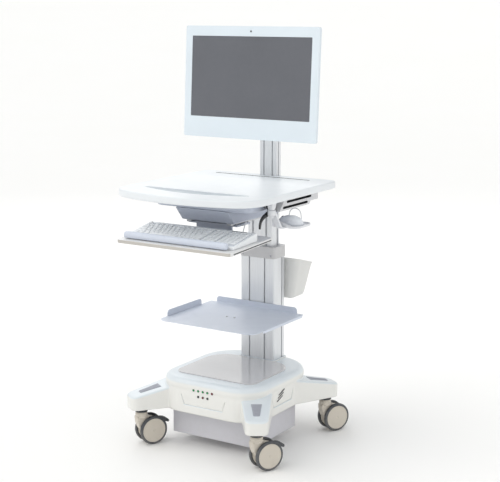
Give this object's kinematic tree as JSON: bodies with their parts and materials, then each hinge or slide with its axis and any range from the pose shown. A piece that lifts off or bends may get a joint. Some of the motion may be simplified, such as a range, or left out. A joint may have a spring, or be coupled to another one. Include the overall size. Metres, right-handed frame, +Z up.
{
  "type": "mobile computer cart",
  "caption": "Height-adjustable ward computer cart with monitor, work surface, pull-out keyboard tray, mouse holder, shelf, bin and swivel casters.",
  "frame": {"origin": "on the floor, at the middle of the bounding box", "axes": "+Z up, the user stands at -Y and faces +Y, +X is at the user's right hand"},
  "size_m": [0.5704, 0.7296, 1.4094],
  "materials": {
    "hood_white": "moulded cover, soft gloss",
    "frame_steel": "powder-coated steel",
    "box_lilac": "smooth powder coat",
    "pack_dark": "dark moulded case",
    "plate_grey": "glossy lid that mirrors the column",
    "pad_grey": "grey grip pad",
    "status_strip": "strip with round light windows",
    "column_silver": "satin anodised extrusion",
    "collar_grey": "moulded glide collar",
    "spring_black": "black lacquered tube",
    "bright_steel": "bright plated steel",
    "shelf_grey": "glossy powder-coated sheet",
    "bin_white": "thin moulded bin",
    "desk_white": "fine-textured moulded top",
    "cover_slate": "blue-grey moulded cover",
    "vent_white": "moulded housing",
    "lever_black": "glossy black lever",
    "tray_white": "moulded tray",
    "rest_gel": "soft wrist pad",
    "key_white": "keyboard body",
    "mouse_white": "mouse shell",
    "cable_white": "cable sheath",
    "bezel_white": "monitor casing",
    "screen_dark": "glossy dark display face",
    "caster_beige": "moulded fork and hood",
    "wheel_tread": "grey tread on a moulded hub",
    "pedal_grey": "brake pedal"
  },
  "bodies": {
    "base": {"base_hood": "hood_white", "chassis_frame": "frame_steel", "base_top_plate": "plate_grey", "battery_box": "box_lilac", "battery_pack": "pack_dark", "power_unit": "pack_dark", "power_inlet": "pack_dark", "leg_pad_front_left": "pad_grey", "leg_pad_front_right": "pad_grey", "leg_pad_rear_right": "pad_grey", "leg_pad_rear_left": "pad_grey", "status_panel": "status_strip", "outer_column": "column_silver", "column_collar": "collar_grey", "gas_spring_body": "spring_black", "shelf": "shelf_grey", "shelf_bracket": "frame_steel", "bin_hook": "frame_steel"},
    "head": {"inner_column": "column_silver", "gas_spring_rod": "bright_steel", "desk_frame": "frame_steel", "desktop": "desk_white", "under_desk_cover": "cover_slate", "under_desk_housing": "cover_slate", "vent_box": "vent_white", "lever_pin": "bright_steel", "slide_rails": "bright_steel", "mouse_bracket": "vent_white", "mast": "column_silver", "mast_foot": "frame_steel", "tilt_clamp": "collar_grey"},
    "bin": {"waste_bin": "bin_white"},
    "lever": {"height_lever": "lever_black"},
    "tray": {"tray_carriage": "cover_slate", "keyboard_tray": "tray_white", "wrist_rest": "rest_gel", "keyboard": "key_white", "keyboard_cable": "cable_white"},
    "mouse_holder": {"mouse_arm": "vent_white", "mouse": "mouse_white", "mouse_cable": "cable_white"},
    "monitor": {"monitor_bezel": "bezel_white", "screen_glass": "screen_dark", "camera_lens": "screen_dark", "monitor_shell": "bezel_white", "tilt_bracket": "frame_steel"},
    "caster_front_left": {"caster_fork_front_left": "caster_beige"},
    "roller_front_left_outer": {"wheel_front_left_outer": "wheel_tread"},
    "roller_front_left_inner": {"wheel_front_left_inner": "wheel_tread"},
    "pedal_front_left": {"brake_pedal_front_left": "pedal_grey"},
    "caster_front_right": {"caster_fork_front_right": "caster_beige"},
    "roller_front_right_outer": {"wheel_front_right_outer": "wheel_tread"},
    "roller_front_right_inner": {"wheel_front_right_inner": "wheel_tread"},
    "pedal_front_right": {"brake_pedal_front_right": "pedal_grey"},
    "caster_rear_right": {"caster_fork_rear_right": "caster_beige"},
    "roller_rear_right_outer": {"wheel_rear_right_outer": "wheel_tread"},
    "roller_rear_right_inner": {"wheel_rear_right_inner": "wheel_tread"},
    "caster_rear_left": {"caster_fork_rear_left": "caster_beige"},
    "roller_rear_left_outer": {"wheel_rear_left_outer": "wheel_tread"},
    "roller_rear_left_inner": {"wheel_rear_left_inner": "wheel_tread"}
  },
  "joints": [
    {"name": "lift", "type": "slide", "parent": "base", "child": "head", "axis": [0, 0, 1], "range_m": [-0.14, 0.2]},
    {"name": "bin_lift_off", "type": "slide", "parent": "base", "child": "bin", "axis": [0, 0, 1], "range_m": [0, 0.04]},
    {"name": "lever_pull", "type": "hinge", "parent": "head", "child": "lever", "pos_m": [0.19007, -0.10184, 0.846], "axis": [1, 0, 0], "range_deg": [-20, 0], "stiffness_Nm_per_rad": 0.5, "springref_deg": 5.73},
    {"name": "tray_slide", "type": "slide", "parent": "head", "child": "tray", "axis": [0, 1, 0], "range_m": [0, 0.115]},
    {"name": "mouse_swing", "type": "hinge", "parent": "head", "child": "mouse_holder", "pos_m": [0.21182, -0.11684, 0.83], "axis": [0, 0, 1], "range_deg": [-100, 10]},
    {"name": "monitor_tilt", "type": "hinge", "parent": "head", "child": "monitor", "pos_m": [-0.00918, 0.18116, 1.225], "axis": [1, 0, 0], "range_deg": [-20, 10]},
    {"name": "swivel_front_left", "type": "hinge", "parent": "base", "child": "caster_front_left", "pos_m": [-0.24118, -0.22384, 0.118], "axis": [0, 0, 1], "continuous": true},
    {"name": "roll_front_left_outer", "type": "hinge", "parent": "caster_front_left", "child": "roller_front_left_outer", "pos_m": [-0.22475, -0.19294, 0.05], "axis": [0.8829, -0.4695, 0], "continuous": true},
    {"name": "roll_front_left_inner", "type": "hinge", "parent": "caster_front_left", "child": "roller_front_left_inner", "pos_m": [-0.22475, -0.19294, 0.05], "axis": [0.8829, -0.4695, 0], "continuous": true},
    {"name": "brake_front_left", "type": "hinge", "parent": "caster_front_left", "child": "pedal_front_left", "pos_m": [-0.21255, -0.16998, 0.08], "axis": [0.8829, -0.4695, 0], "range_deg": [-12, 0]},
    {"name": "swivel_front_right", "type": "hinge", "parent": "base", "child": "caster_front_right", "pos_m": [0.22282, -0.22384, 0.118], "axis": [0, 0, 1], "continuous": true},
    {"name": "roll_front_right_outer", "type": "hinge", "parent": "caster_front_right", "child": "roller_front_right_outer", "pos_m": [0.23925, -0.19294, 0.05], "axis": [0.8829, -0.4695, 0], "continuous": true},
    {"name": "roll_front_right_inner", "type": "hinge", "parent": "caster_front_right", "child": "roller_front_right_inner", "pos_m": [0.23925, -0.19294, 0.05], "axis": [0.8829, -0.4695, 0], "continuous": true},
    {"name": "brake_front_right", "type": "hinge", "parent": "caster_front_right", "child": "pedal_front_right", "pos_m": [0.25145, -0.16998, 0.08], "axis": [0.8829, -0.4695, 0], "range_deg": [-12, 0]},
    {"name": "swivel_rear_right", "type": "hinge", "parent": "base", "child": "caster_rear_right", "pos_m": [0.22282, 0.23016, 0.118], "axis": [0, 0, 1], "continuous": true},
    {"name": "roll_rear_right_outer", "type": "hinge", "parent": "caster_rear_right", "child": "roller_rear_right_outer", "pos_m": [0.23925, 0.26106, 0.05], "axis": [0.8829, -0.4695, 0], "continuous": true},
    {"name": "roll_rear_right_inner", "type": "hinge", "parent": "caster_rear_right", "child": "roller_rear_right_inner", "pos_m": [0.23925, 0.26106, 0.05], "axis": [0.8829, -0.4695, 0], "continuous": true},
    {"name": "swivel_rear_left", "type": "hinge", "parent": "base", "child": "caster_rear_left", "pos_m": [-0.24118, 0.23016, 0.118], "axis": [0, 0, 1], "continuous": true},
    {"name": "roll_rear_left_outer", "type": "hinge", "parent": "caster_rear_left", "child": "roller_rear_left_outer", "pos_m": [-0.22475, 0.26106, 0.05], "axis": [0.8829, -0.4695, 0], "continuous": true},
    {"name": "roll_rear_left_inner", "type": "hinge", "parent": "caster_rear_left", "child": "roller_rear_left_inner", "pos_m": [-0.22475, 0.26106, 0.05], "axis": [0.8829, -0.4695, 0], "continuous": true}
  ]
}
